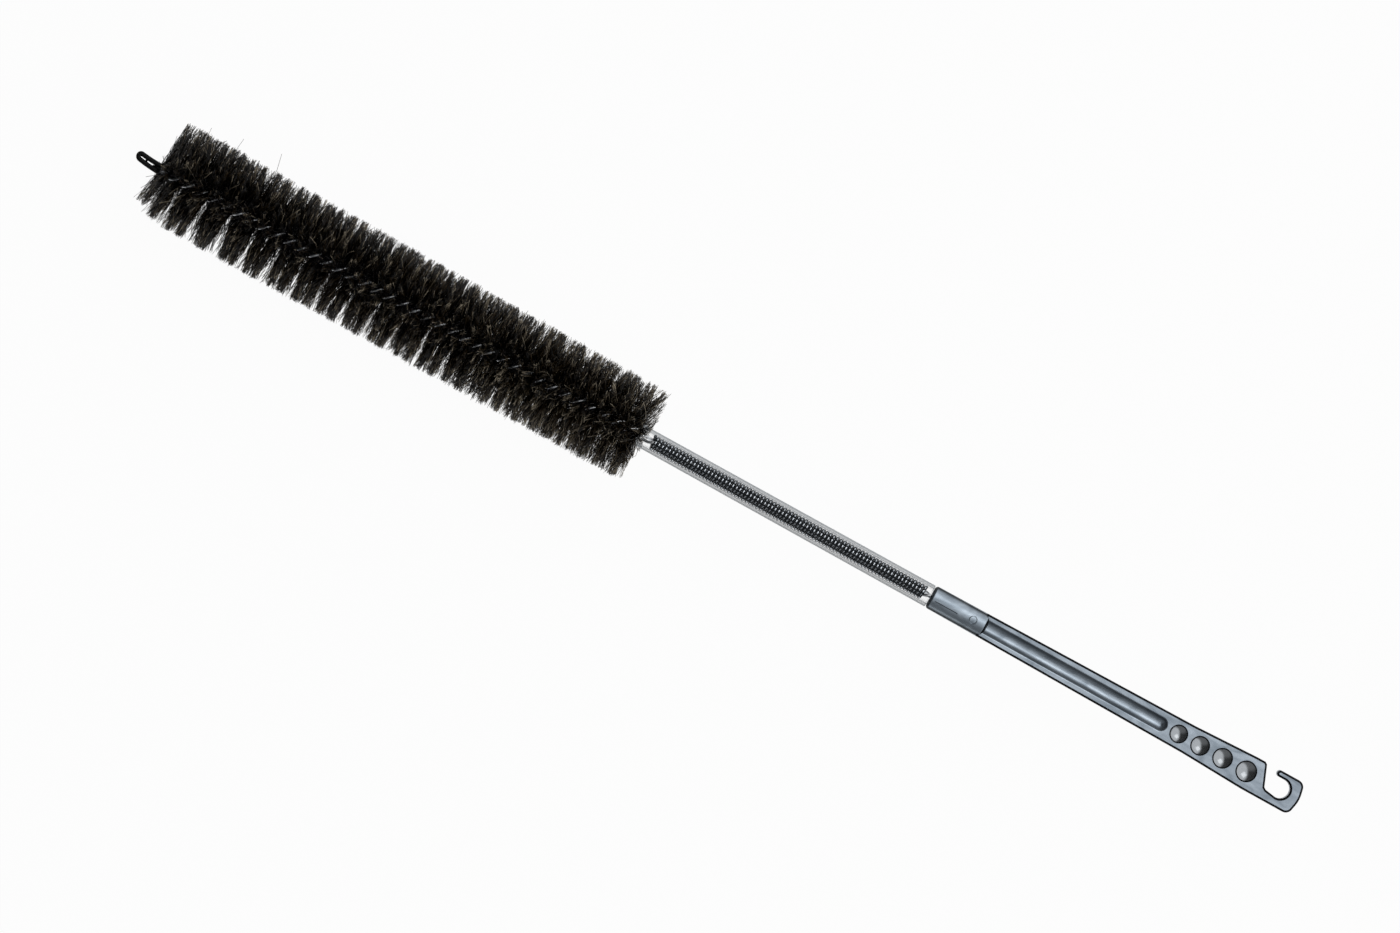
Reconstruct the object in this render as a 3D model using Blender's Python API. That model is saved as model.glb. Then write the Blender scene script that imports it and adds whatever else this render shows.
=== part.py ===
"""Dryer lint brush: fibres twisted into a wire stem, a spring guarded neck and a moulded hook handle.

The long axis runs along X, the tip at -X and the hook at +X. The handle's faces look along Z and
the hook's mouth opens along +Y. The part lies on its fibres, on the plane z = 0. Sizes are metres.
"""

import math

import bmesh
import bpy
from mathutils import Matrix, Vector

# Lengths along the axis, and the clearance between pieces that touch
LOOP_PROUD = 0.0170
HEAD_LENGTH = 0.2990
NECK_LENGTH = 0.1840
HANDLE_LENGTH = 0.2312
CLEARANCE = 0.0003
MERGE_DISTANCE = 0.00001

# Twisted wire stem
WIRE_DIAMETER = 0.0020
TWIST_PITCH = 0.01574
TWIST_EASE = 0.0028
HEAD_WIRE_SPREAD = 0.0036
NECK_WIRE_SPREAD = 0.0024
WIRE_CLOSING_LENGTH = 0.0060
STEM_IN_SOCKET = 0.0300
STEM_POINTS_PER_TURN = 6
LOOP_STEPS = 6

# Plastic dip on the end loop
DIP_LENGTH = 0.0136
DIP_WALL = 0.00025
DIP_FIT = 0.00015

# Bristles
HEAD_TIP_RADIUS = 0.0290
HEAD_NECK_RADIUS = 0.0272
BOTTOM_CUT_DEPTH = 0.0005
HEAD_END_MARGIN = 0.0010
CORE_THICKNESS = 0.0006
STRAND_TIP_WIDTH = 0.0006
STRAND_LEAN = 0.0015
SECTION_COUNT = 10
STATIONS_PER_SECTION = 16

# Neck spring
SPRING_DIAMETER = 0.0079
SPRING_WIRE_DIAMETER = 0.0014
SPRING_FRONT_INSET = 0.0080
SPRING_REAR_INSET = 0.0035
SPRING_CURLS = 64
POINTS_PER_CURL = 8

# Clear sleeve
SLEEVE_FRONT_DIAMETER = 0.0124
SLEEVE_REAR_DIAMETER = 0.0131
SLEEVE_WALL = 0.0016
SLEEVE_SIDES = 24

# Handle collar
COLLAR_LENGTH = 0.0332
COLLAR_FRONT_DIAMETER = 0.0136
COLLAR_REAR_DIAMETER = 0.0141
COLLAR_ROUND = 0.0018
COLLAR_DOME = 0.0020
COLLAR_SIDES = 24
ROUND_STEPS = 3

# Handle grip, with places measured from the handle's end
GRIP_THICKNESS = 0.0090
GRIP_EDGE_ROUND = 0.0011
GRIP_FRONT_WIDTH = 0.0140
GRIP_WAIST_WIDTH = 0.0165
GRIP_HOOK_WIDTH = 0.0196
GRIP_WAIST_FROM_END = 0.0692
GRIP_SHOULDER_FROM_END = 0.0312
TROUGH_WIDTH = 0.0077
TROUGH_DEPTH = 0.0028
TROUGH_FROM_END = 0.0832
TROUGH_SIDES = 16
SCOOP_COUNT = 4
SCOOP_FIRST_FROM_END = 0.0755
SCOOP_FIRST_DIAMETER = 0.0095
SCOOP_SPACING = 0.0134
SCOOP_DEPTH = 0.0028
SCOOP_GROWTH_SHARE = 1.054
SCOOP_SIDES = 16

# Hanging hook
HOOK_LENGTH = 0.0257
HOOK_MOUTH_WIDTH = 0.0074
HOOK_EYE_RADIUS = 0.0054
HOOK_EYE_FROM_END = 0.0121
HOOK_ARM_THICKNESS = 0.0037
HOOK_THROAT_RUN = 0.0047
HOOK_FLOOR_RISE = 0.0010
HOOK_THROAT_ROUND = 0.0010
HOOK_CORNER_RADIUS = 0.0042
HOOK_END_BOW = 0.0009
HOOK_ARC_STEPS = 12

# Places that follow from the sizes
AXIS_HEIGHT = HEAD_TIP_RADIUS - BOTTOM_CUT_DEPTH
TIP_X = -(LOOP_PROUD + HEAD_LENGTH + NECK_LENGTH + HANDLE_LENGTH) / 2
HEAD_X = TIP_X + LOOP_PROUD
NECK_X = HEAD_X + HEAD_LENGTH
HANDLE_X = NECK_X + NECK_LENGTH
HANDLE_END_X = HANDLE_X + HANDLE_LENGTH
PIVOT = Vector((NECK_X + NECK_LENGTH / 2, 0, AXIS_HEIGHT))


def material(name, colour, roughness, metallic=0, transmission=0):
    made = bpy.data.materials.new(name)
    made.use_nodes = True
    shader = made.node_tree.nodes["Principled BSDF"]
    shader.inputs["Base Color"].default_value = (*colour, 1)
    shader.inputs["Roughness"].default_value = roughness
    shader.inputs["Metallic"].default_value = metallic
    shader.inputs["Transmission Weight"].default_value = transmission
    made.diffuse_color = (*colour, 1)
    return made


def add_object(name, data, finish=None):
    made = bpy.data.objects.new(name, data)
    bpy.context.scene.collection.objects.link(made)
    if finish:
        data.materials.append(finish)
    return made


def mesh_object(name, bm, finish=None):
    """A new object from a bmesh, its faces turned outwards and its round faces smooth."""
    bmesh.ops.recalc_face_normals(bm, faces=bm.faces)
    mesh = bpy.data.meshes.new(name)
    bm.to_mesh(mesh)
    bm.free()
    mesh.shade_smooth()
    mesh.set_sharp_from_angle(angle=math.radians(35))
    return add_object(name, mesh, finish)


def tube(name, points, diameter, finish=None):
    """A six-sided tube along the points, closed at both ends."""
    curve = bpy.data.curves.new(name, "CURVE")
    curve.dimensions = "3D"
    curve.bevel_depth = diameter / 2
    curve.bevel_resolution = 1
    curve.use_fill_caps = True
    spline = curve.splines.new("POLY")
    spline.points.add(len(points) - 1)
    for point, place in zip(spline.points, points):
        point.co = (*place, 1)
    return add_object(name, curve, finish)


def closed_mesh(name, source, finish=None):
    """The source tube as a mesh object, its caps merged with its sides. The tube itself is removed."""
    mesh = bpy.data.meshes.new_from_object(source)
    bm = bmesh.new()
    bm.from_mesh(mesh)
    bmesh.ops.remove_doubles(bm, verts=bm.verts, dist=MERGE_DISTANCE)
    bpy.data.meshes.remove(mesh)
    bpy.data.objects.remove(source)
    return mesh_object(name, bm, finish)


def revolved(name, profile, sides, centre_y_z=(0, AXIS_HEIGHT), finish=None):
    """A closed (x, radius) profile turned about a line along X. Its points on that line are merged."""
    bm = bmesh.new()
    y, z = centre_y_z
    ring = [bm.verts.new((x, y, z + radius)) for x, radius in profile]
    edges = [bm.edges.new(pair) for pair in zip(ring, ring[1:])]
    if profile[0][1] > 0:
        edges.append(bm.edges.new((ring[-1], ring[0])))
    bmesh.ops.spin(
        bm,
        geom=ring + edges,
        cent=(0, y, z),
        axis=(1, 0, 0),
        angle=math.tau,
        steps=sides,
        use_merge=True,
    )
    bmesh.ops.remove_doubles(bm, verts=bm.verts, dist=MERGE_DISTANCE)
    return mesh_object(name, bm, finish)


def combine(body, other, operation):
    """Joins the other object to the body, or cuts it out, and hides it."""
    modifier = body.modifiers.new(other.name, "BOOLEAN")
    modifier.object = other
    modifier.operation = operation
    other.hide_render = True
    other.display_type = "WIRE"


def arc(centre_x, centre_y, radius, start_degrees, end_degrees, steps):
    angles = (start_degrees + (end_degrees - start_degrees) * i / steps for i in range(steps + 1))
    return [
        (centre_x + radius * math.cos(math.radians(a)), centre_y + radius * math.sin(math.radians(a)))
        for a in angles
    ]


def smooth_step(share):
    share = min(max(share, 0), 1)
    return share * share * (3 - 2 * share)


def twist_angle(x):
    """How far the wires have turned at x, left-handed. The twist starts from rest behind the dip."""
    run = max(x - (TIP_X + DIP_LENGTH), 0)
    if run < TWIST_EASE:
        return -math.tau * run * run / (2 * TWIST_EASE * TWIST_PITCH)
    return -math.tau * (run - TWIST_EASE / 2) / TWIST_PITCH


def wire_offset(x):
    """Each wire's distance from the axis: wide where the fibres lie between them, close behind."""
    closed = smooth_step((x - NECK_X) / WIRE_CLOSING_LENGTH)
    return (HEAD_WIRE_SPREAD + (NECK_WIRE_SPREAD - HEAD_WIRE_SPREAD) * closed) / 2


def loop_route(leg_end_x):
    """The hairpin's end: two straight legs to leg_end_x and the half round that joins them."""
    radius = HEAD_WIRE_SPREAD / 2
    centre_x = TIP_X + WIRE_DIAMETER / 2 + DIP_FIT + DIP_WALL + radius
    half_round = arc(centre_x, 0, radius, 90, 270, LOOP_STEPS)
    flat = [(leg_end_x, radius), *half_round, (leg_end_x, -radius)]
    return [Vector((x, y, AXIS_HEIGHT)) for x, y in flat]


def stem_route():
    """One wire: forwards as a helix, round the end loop, and back on the opposite side."""
    rear_x = HANDLE_X + STEM_IN_SOCKET
    front_x = TIP_X + DIP_LENGTH
    count = round((rear_x - front_x) / TWIST_PITCH * STEM_POINTS_PER_TURN)
    outward = []
    for i in range(count):
        x = rear_x + (front_x - rear_x) * i / count
        reach = wire_offset(x) * Vector((0, math.cos(twist_angle(x)), math.sin(twist_angle(x))))
        outward.append((x, reach))
    middle = Vector((0, 0, AXIS_HEIGHT))
    one = [middle + reach + Vector((x, 0, 0)) for x, reach in outward]
    other = [middle - reach + Vector((x, 0, 0)) for x, reach in outward]
    return one + loop_route(front_x) + other[::-1]


def build_tip_dip(finish):
    """A thin coat round the end loop, as one bent tube with a bore that the wire runs through."""
    route = loop_route(TIP_X + DIP_LENGTH)
    bore = WIRE_DIAMETER + 2 * DIP_FIT
    dip = closed_mesh("tip_dip", tube("dip_route", route, bore + 2 * DIP_WALL), finish)
    overrun = Vector((DIP_WALL, 0, 0))
    longer_route = [route[0] + overrun, *route, route[-1] + overrun]
    cutter = closed_mesh("dip_bore", tube("bore_route", longer_route, bore))
    combine(dip, cutter, "DIFFERENCE")
    return dip


def head_radius(x):
    share = (x - HEAD_X) / HEAD_LENGTH
    return HEAD_TIP_RADIUS + (HEAD_NECK_RADIUS - HEAD_TIP_RADIUS) * share


def strand_direction(x):
    """Square to the line between the two wires, which is the way out of their nip."""
    angle = twist_angle(x) + math.pi / 2
    return Vector((0, math.cos(angle), math.sin(angle)))


def build_bristles(section, finish):
    """One stretch of the packed fibre core between the wires, with a strand drawn out of each side."""
    length = (HEAD_LENGTH - 2 * HEAD_END_MARGIN) / SECTION_COUNT
    start_x = HEAD_X + HEAD_END_MARGIN + section * length + CLEARANCE / 2
    step = (length - CLEARANCE) / STATIONS_PER_SECTION
    middle = Vector((0, 0, AXIS_HEIGHT))

    def corners(x):
        out = strand_direction(x) * CORE_THICKNESS / 2
        side = out.cross(Vector((1, 0, 0)))
        centre = middle + Vector((x, 0, 0))
        return [centre + out + side, centre - out + side, centre - out - side, centre + out - side]

    bm = bmesh.new()
    end = bm.faces.new([bm.verts.new(corner) for corner in corners(start_x)])
    for station in range(STATIONS_PER_SECTION):
        grown = bmesh.ops.extrude_face_region(bm, geom=[end])["geom"]
        if station > 0:
            bm.faces.remove(end)
        end = next(item for item in grown if isinstance(item, bmesh.types.BMFace))
        for vert, corner in zip(end.verts, corners(start_x + (station + 1) * step)):
            vert.co = corner
    bm.normal_update()
    roots = []
    for face in bm.faces:
        centre = face.calc_center_median()
        across = (centre - middle) * Vector((0, 1, 1))
        if abs(across.dot(strand_direction(centre.x))) > CORE_THICKNESS / 4:
            roots.append(face)
    tips = bmesh.ops.extrude_discrete_faces(bm, faces=roots)["faces"]
    for tip in tips:
        centre = tip.calc_center_median()
        station = math.floor((centre.x - start_x) / step)
        out = strand_direction(centre.x)
        if (centre - middle).dot(out) < 0:
            out = -out
        reach = head_radius(centre.x)
        if out.z < 0:
            reach = min(reach, AXIS_HEIGHT / -out.z)
        lean = STRAND_LEAN if station % 2 else -STRAND_LEAN
        end_x = min(max(centre.x + lean, HEAD_X), NECK_X)
        for vert in tip.verts:
            side = math.copysign(STRAND_TIP_WIDTH / 2, vert.co.x - centre.x)
            vert.co = middle + out * reach + Vector((end_x + side, 0, 0))
    bmesh.ops.remove_doubles(bm, verts=bm.verts, dist=MERGE_DISTANCE)
    return mesh_object(f"bristles_{section + 1:02d}", bm, finish)


def spring_route():
    """Left-handed curls, with a straight end as long as the wire is thick, along the axis, at each end."""
    radius = (SPRING_DIAMETER - SPRING_WIRE_DIAMETER) / 2
    front_x = NECK_X + SPRING_FRONT_INSET
    rear_x = HANDLE_X - SPRING_REAR_INSET
    first_x = front_x + SPRING_WIRE_DIAMETER
    last_x = rear_x - SPRING_WIRE_DIAMETER
    count = SPRING_CURLS * POINTS_PER_CURL
    route = []
    for i in range(count + 1):
        angle = -math.tau * i / POINTS_PER_CURL
        place = (first_x + (last_x - first_x) * i / count, radius * math.cos(angle))
        route.append(Vector((*place, AXIS_HEIGHT + radius * math.sin(angle))))
    front = route[0] * 1
    front.x = front_x
    rear = route[-1] * 1
    rear.x = rear_x
    return [front, *route, rear]


def least_self_gap(route, diameter, points_apart):
    """The least distance between two points at least that many points apart, less the diameter."""
    nearest = min(
        (one - other).length
        for i, one in enumerate(route)
        for other in route[i + points_apart : i + 2 * POINTS_PER_CURL]
    )
    return nearest - diameter


def build_spring(finish):
    route = spring_route()
    gap = least_self_gap(route, SPRING_WIRE_DIAMETER, POINTS_PER_CURL // 2)
    print(f"least gap between the neck spring's curls: {gap:.5f} m")
    return tube("neck_spring", route, SPRING_WIRE_DIAMETER, finish)


def build_sleeve(finish):
    front_x = NECK_X + CLEARANCE
    rear_x = HANDLE_X - CLEARANCE
    front = SLEEVE_FRONT_DIAMETER / 2
    rear = SLEEVE_REAR_DIAMETER / 2
    profile = [
        (front_x, front),
        (rear_x, rear),
        (rear_x, rear - SLEEVE_WALL),
        (front_x, front - SLEEVE_WALL),
    ]
    return revolved("clear_sleeve", profile, SLEEVE_SIDES, finish=finish)


def grip_outline():
    """The grip seen from above, anticlockwise from its front, as (place, y)."""
    half = GRIP_HOOK_WIDTH / 2
    end = HANDLE_LENGTH
    corner = HOOK_CORNER_RADIUS
    corner_x = end - HOOK_END_BOW - corner
    corner_y = half - corner
    eye_x = end - HOOK_EYE_FROM_END
    eye_y = half - HOOK_ARM_THICKNESS - HOOK_EYE_RADIUS
    lip = HOOK_ARM_THICKNESS / 2
    mouth = end - HOOK_LENGTH
    floor_x = mouth + HOOK_THROAT_RUN
    floor_y = eye_y - HOOK_EYE_RADIUS + HOOK_FLOOR_RISE
    slope = HOOK_THROAT_RUN / (half - floor_y)
    throat = HOOK_THROAT_ROUND
    bow_shares = (-0.6, -0.3, 0, 0.3, 0.6)
    front = COLLAR_LENGTH - GRIP_EDGE_ROUND
    return [
        (front, -GRIP_FRONT_WIDTH / 2),
        (end - GRIP_WAIST_FROM_END, -GRIP_WAIST_WIDTH / 2),
        (end - GRIP_SHOULDER_FROM_END, -half),
        *arc(corner_x, -corner_y, corner, -90, -20, HOOK_ARC_STEPS // 3),
        *[(end - HOOK_END_BOW * share * share, corner_y * share) for share in bow_shares],
        *arc(corner_x, corner_y, corner, 20, 90, HOOK_ARC_STEPS // 3),
        *arc(mouth + HOOK_MOUTH_WIDTH + lip, half - lip, lip, 90, 270, HOOK_ARC_STEPS // 2),
        *arc(eye_x, eye_y, HOOK_EYE_RADIUS, 90, -90, HOOK_ARC_STEPS),
        (floor_x + throat, floor_y),
        (floor_x - throat * slope, floor_y + throat),
        (mouth + throat * slope, half - throat),
        (mouth - throat, half),
        (end - GRIP_SHOULDER_FROM_END, half),
        (end - GRIP_WAIST_FROM_END, GRIP_WAIST_WIDTH / 2),
        (front, GRIP_FRONT_WIDTH / 2),
    ]


def build_grip(finish):
    """The outline drawn up to the grip's thickness, with every edge of its two faces rounded."""
    bm = bmesh.new()
    low = AXIS_HEIGHT - GRIP_THICKNESS / 2
    face = bm.faces.new([bm.verts.new((HANDLE_X + x, y, low)) for x, y in grip_outline()])
    grown = bmesh.ops.extrude_face_region(bm, geom=[face])["geom"]
    upper = [item for item in grown if isinstance(item, bmesh.types.BMVert)]
    bmesh.ops.translate(bm, verts=upper, vec=(0, 0, GRIP_THICKNESS))
    rims = [edge for edge in bm.edges if edge.verts[0].co.z == edge.verts[1].co.z]
    bmesh.ops.bevel(
        bm,
        geom=rims,
        offset=GRIP_EDGE_ROUND,
        segments=2,
        profile=0.5,
        affect="EDGES",
        clamp_overlap=True,
    )
    return mesh_object("handle", bm, finish)


def build_collar():
    """A turned collar with a rounded front and a shallow dome that runs into the grip behind."""
    front = COLLAR_FRONT_DIAMETER / 2
    rear = COLLAR_REAR_DIAMETER / 2
    round_front = arc(HANDLE_X + COLLAR_ROUND, front - COLLAR_ROUND, COLLAR_ROUND, 180, 90, ROUND_STEPS)
    dome = []
    for i in range(2 * ROUND_STEPS + 1):
        share = 1 - i / (2 * ROUND_STEPS)
        dome.append((HANDLE_X + COLLAR_LENGTH + COLLAR_DOME * (1 - share * share), rear * share))
    return revolved("collar", [(HANDLE_X, 0), *round_front, *dome], COLLAR_SIDES)


def cap_radius(width, depth):
    """The radius of the round whose cap has this width and depth."""
    return (width * width / 4 + depth * depth) / (2 * depth)


def ball_profile(front_x, rear_x, radius, sides):
    """A rod along X from front_x to rear_x, with a half ball at its rear and a flat front."""
    ball = arc(rear_x, 0, radius, 90, 0, sides // 4)
    return [(front_x, 0), (front_x, radius), *ball[:-1], (rear_x + radius, 0)]


def build_trough(side):
    radius = cap_radius(TROUGH_WIDTH, TROUGH_DEPTH)
    face_z = AXIS_HEIGHT + side * GRIP_THICKNESS / 2
    centre_z = face_z + side * (radius - TROUGH_DEPTH)
    rear_x = HANDLE_END_X - TROUGH_FROM_END - TROUGH_WIDTH / 2
    profile = ball_profile(HANDLE_X + COLLAR_LENGTH - TROUGH_WIDTH / 2, rear_x, radius, TROUGH_SIDES)
    name = "upper_trough" if side > 0 else "lower_trough"
    return revolved(name, profile, TROUGH_SIDES, (0, centre_z))


def build_scoops(side):
    """Four round finger scoops, each a little larger and further on than the one before."""
    made = []
    x = HANDLE_END_X - SCOOP_FIRST_FROM_END
    for i in range(SCOOP_COUNT):
        growth = SCOOP_GROWTH_SHARE**i
        radius = cap_radius(SCOOP_FIRST_DIAMETER * growth, SCOOP_DEPTH)
        face_z = AXIS_HEIGHT + side * GRIP_THICKNESS / 2
        bm = bmesh.new()
        bmesh.ops.create_uvsphere(
            bm,
            u_segments=SCOOP_SIDES,
            v_segments=SCOOP_SIDES // 2,
            radius=radius,
            matrix=Matrix.Translation((x, 0, face_z + side * (radius - SCOOP_DEPTH))),
        )
        made.append(mesh_object(f"{'upper' if side > 0 else 'lower'}_scoop_{i + 1}", bm))
        x += SCOOP_SPACING * growth
    return made


def build_socket():
    """The bore in the collar that the stem's rear end is moulded into."""
    radius = (NECK_WIRE_SPREAD + WIRE_DIAMETER) / 2 + CLEARANCE
    rear_x = HANDLE_X + STEM_IN_SOCKET + WIRE_DIAMETER / 2 + CLEARANCE
    front_x = HANDLE_X - COLLAR_ROUND
    profile = [(front_x, 0), (front_x, radius), (rear_x, radius), (rear_x, 0)]
    return revolved("stem_socket", profile, SLEEVE_SIDES)


def build_handle(finish):
    handle = build_grip(finish)
    for side in (1, -1):
        combine(handle, build_trough(side), "DIFFERENCE")
    combine(handle, build_collar(), "UNION")
    for side in (1, -1):
        for scoop in build_scoops(side):
            combine(handle, scoop, "DIFFERENCE")
    combine(handle, build_socket(), "DIFFERENCE")
    handle.modifiers.new("flat_face_normals", "WEIGHTED_NORMAL").keep_sharp = True
    return handle


def main():
    for old in list(bpy.data.objects):
        bpy.data.objects.remove(old)
    grey_plastic = material("Satin grey plastic", (0.34, 0.37, 0.43), 0.38)
    clear_vinyl = material("Clear vinyl", (0.86, 0.87, 0.87), 0.12, transmission=1)
    spring_steel = material("Dark spring steel", (0.09, 0.10, 0.12), 0.28, metallic=1)
    wire_steel = material("Galvanised wire", (0.60, 0.61, 0.62), 0.30, metallic=1)
    black_vinyl = material("Black dipped vinyl", (0.012, 0.012, 0.014), 0.35)
    fibre = material("Black and brown fibre", (0.020, 0.016, 0.012), 0.55)
    build_handle(grey_plastic)
    build_sleeve(clear_vinyl)
    build_spring(spring_steel)
    head = [
        tube("twisted_wire_stem", stem_route(), WIRE_DIAMETER, wire_steel),
        build_tip_dip(black_vinyl),
        *[build_bristles(section, fibre) for section in range(SECTION_COUNT)],
    ]
    pivot = add_object("neck_pivot", None)
    pivot.location = PIVOT
    for piece in head:
        piece.parent = pivot
        piece.matrix_parent_inverse = Matrix.Translation(-PIVOT)


main()
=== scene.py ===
"""Dryer lint brush: fibres in a twisted wire stem, a sprung neck in a clear sleeve, and a hook handle.

The brush lies along X with its tip at -X and its hook at +X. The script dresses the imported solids: each
section makes one piece, or one group of like pieces, in the order in which the brush is put together.
"""

import math

import bpy
import numpy as np
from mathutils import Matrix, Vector


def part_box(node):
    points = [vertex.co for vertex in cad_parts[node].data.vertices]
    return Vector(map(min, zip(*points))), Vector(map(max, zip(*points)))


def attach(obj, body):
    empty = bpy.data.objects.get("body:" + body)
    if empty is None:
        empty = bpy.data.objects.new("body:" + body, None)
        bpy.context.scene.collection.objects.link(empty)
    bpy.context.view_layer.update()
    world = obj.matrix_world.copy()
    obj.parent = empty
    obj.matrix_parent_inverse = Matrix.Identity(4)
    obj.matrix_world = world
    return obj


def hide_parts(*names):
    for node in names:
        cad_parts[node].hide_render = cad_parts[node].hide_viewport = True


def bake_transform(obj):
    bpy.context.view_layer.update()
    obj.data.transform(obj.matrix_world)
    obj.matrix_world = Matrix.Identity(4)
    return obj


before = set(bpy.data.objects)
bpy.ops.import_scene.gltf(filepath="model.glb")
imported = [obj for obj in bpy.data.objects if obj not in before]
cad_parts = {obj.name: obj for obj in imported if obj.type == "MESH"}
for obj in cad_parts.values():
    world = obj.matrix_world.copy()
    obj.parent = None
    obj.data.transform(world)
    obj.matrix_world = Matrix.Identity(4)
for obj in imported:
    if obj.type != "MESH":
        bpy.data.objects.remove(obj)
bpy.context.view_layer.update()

bpy.ops.object.select_all(action="DESELECT")

# Camera: straight above the brush and rolled, so that the tip lies at the upper left of the picture and the
# hook at the lower right. The picture is as wide as this stretch of the plane that the axis lies in.
handle_low, handle_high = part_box("handle")
axis_z = (handle_low.z + handle_high.z) / 2
PICTURE_WIDTH = 0.770
CAMERA_HEIGHT = 4.00
CAMERA_ROLL = math.radians(29.0)
CAMERA_AIM = (-0.0112, 0.0010)
SENSOR_WIDTH = 36.0
bpy.ops.object.camera_add(
    location=(*CAMERA_AIM, axis_z + CAMERA_HEIGHT), rotation=(0, 0, CAMERA_ROLL)
)
camera = bpy.context.object
camera.data.sensor_width = SENSOR_WIDTH
camera.data.lens = SENSOR_WIDTH * CAMERA_HEIGHT / PICTURE_WIDTH
bpy.context.scene.camera = camera
bpy.context.scene.view_settings.view_transform = "Standard"


def linear(hex_colour):
    """An sRGB hex value as the linear colour that a shader takes."""
    channels = [int(hex_colour[i : i + 2], 16) / 255 for i in (1, 3, 5)]
    return (*[c / 12.92 if c <= 0.04045 else ((c + 0.055) / 1.055) ** 2.4 for c in channels], 1)


def add_node(owner, kind, inputs=(), **settings):
    """Adds a node to a material or world, or finds its only one of a kind that it starts with.

    Settings are the node's own properties. Inputs, a dict, takes values or other nodes' output sockets.
    """
    tree = owner.node_tree
    starts_with = ("ShaderNodeBsdfPrincipled", "ShaderNodeBackground", "ShaderNodeOutputMaterial")
    found = [node for node in tree.nodes if node.bl_idname == kind and kind in starts_with]
    node = found[0] if found else tree.nodes.new(kind)
    for name, value in settings.items():
        setattr(node, name, value)
    for name, value in dict(inputs).items():
        if isinstance(value, bpy.types.NodeSocket):
            tree.links.new(value, node.inputs[name])
        else:
            node.inputs[name].default_value = value
    return node


def new_material(name):
    made = bpy.data.materials.new(name)
    made.use_nodes = True
    return made


# Floor: a wide sheet of matt white paper. Where the camera, a gloss reflection or clear plastic looks at it,
# most of what shows is plain white and the rest is the lit paper, which holds the brush's soft shadow.
# It has no back, so that the brush shows from below.
FLOOR_SIZE = 40.0
FLOOR_DROP = 0.0004
PLAIN_WHITE_SHARE = 0.96
bpy.ops.mesh.primitive_plane_add(size=FLOOR_SIZE, location=(0, 0, -FLOOR_DROP))
floor = bpy.context.object
floor.name = "paper_floor"
paper = new_material("Matt white paper")
rays = add_node(paper, "ShaderNodeLightPath").outputs
seen = add_node(
    paper, "ShaderNodeMath", {0: rays["Is Camera Ray"], 1: rays["Is Glossy Ray"]}, operation="MAXIMUM"
)
seen = add_node(
    paper, "ShaderNodeMath", {0: seen.outputs[0], 1: rays["Is Transmission Ray"]}, operation="MAXIMUM"
)
white_share = add_node(
    paper, "ShaderNodeMath", {0: seen.outputs[0], 1: PLAIN_WHITE_SHARE}, operation="MULTIPLY"
)
lit_paper = add_node(paper, "ShaderNodeBsdfDiffuse", {"Color": linear("#E6E6E4")})
plain_white = add_node(paper, "ShaderNodeEmission", {"Color": linear("#FFFFFF"), "Strength": 1.0})
front = add_node(
    paper,
    "ShaderNodeMixShader",
    {0: white_share.outputs[0], 1: lit_paper.outputs[0], 2: plain_white.outputs[0]},
)
back_side = add_node(paper, "ShaderNodeNewGeometry").outputs["Backfacing"]
no_back = add_node(paper, "ShaderNodeBsdfTransparent")
one_sided = add_node(
    paper, "ShaderNodeMixShader", {0: back_side, 1: front.outputs[0], 2: no_back.outputs[0]}
)
add_node(paper, "ShaderNodeOutputMaterial", {"Surface": one_sided.outputs[0]})
floor.data.materials.append(paper)

# Surround: a dark studio with a wide white panel, from overhead down to the hook's side, and a weak fill
# card at -Y. Flat faces show the panel, and every curve darkens as it turns away from it. An edge runs from
# where the level begins to rise to where it is full, as cosines of the angle from the middle.
PANEL_TOWARDS = (0.74, 0.41, 0.53)
PANEL_EDGE = (0.28, 0.58)
PANEL_LEVEL = 1.05
FILL_TOWARDS = (0.0, -0.85, 0.53)
FILL_EDGE = (0.55, 0.95)
FILL_LEVEL = 0.20
AROUND_LEVEL = 0.015
surround = bpy.data.worlds.new("Grey studio surround")
surround.use_nodes = True
bpy.context.scene.world = surround
towards = add_node(surround, "ShaderNodeTexCoord").outputs["Generated"]
levels = []
for direction, edge, level_outside, level_inside in (
    (PANEL_TOWARDS, PANEL_EDGE, AROUND_LEVEL, PANEL_LEVEL),
    (FILL_TOWARDS, FILL_EDGE, 0.0, FILL_LEVEL),
):
    facing = add_node(
        surround, "ShaderNodeVectorMath", {0: towards, 1: direction}, operation="DOT_PRODUCT"
    )
    reach = {"Value": facing.outputs["Value"], "From Min": edge[0], "From Max": edge[1]}
    reach.update({"To Min": level_outside, "To Max": level_inside})
    levels.append(add_node(surround, "ShaderNodeMapRange", reach, interpolation_type="SMOOTHSTEP"))
level = add_node(
    surround, "ShaderNodeMath", {0: levels[0].outputs[0], 1: levels[1].outputs[0]}, operation="ADD"
)
add_node(surround, "ShaderNodeBackground", {"Color": linear("#F6F7F9"), "Strength": level.outputs[0]})

# Light: one large soft box above the +Y side, past the hook's end, aimed at the middle of the brush. It
# picks out the wires and the fibres.
SOFT_BOX_SIZE = (0.90, 0.90)
SOFT_BOX_PLACE = (0.50, 0.75, 1.25)
SOFT_BOX_POWER = 2.4
bpy.ops.object.light_add(type="AREA", location=SOFT_BOX_PLACE)
lamp = bpy.context.object
lamp.name = "soft_box"
lamp.visible_camera = False
lamp.data.shape = "RECTANGLE"
lamp.data.size, lamp.data.size_y = SOFT_BOX_SIZE
lamp.data.energy = SOFT_BOX_POWER
lamp_aim = Vector((0, 0, axis_z)) - Vector(SOFT_BOX_PLACE)
lamp.rotation_euler = lamp_aim.to_track_quat("-Z", "Y").to_euler()

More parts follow.
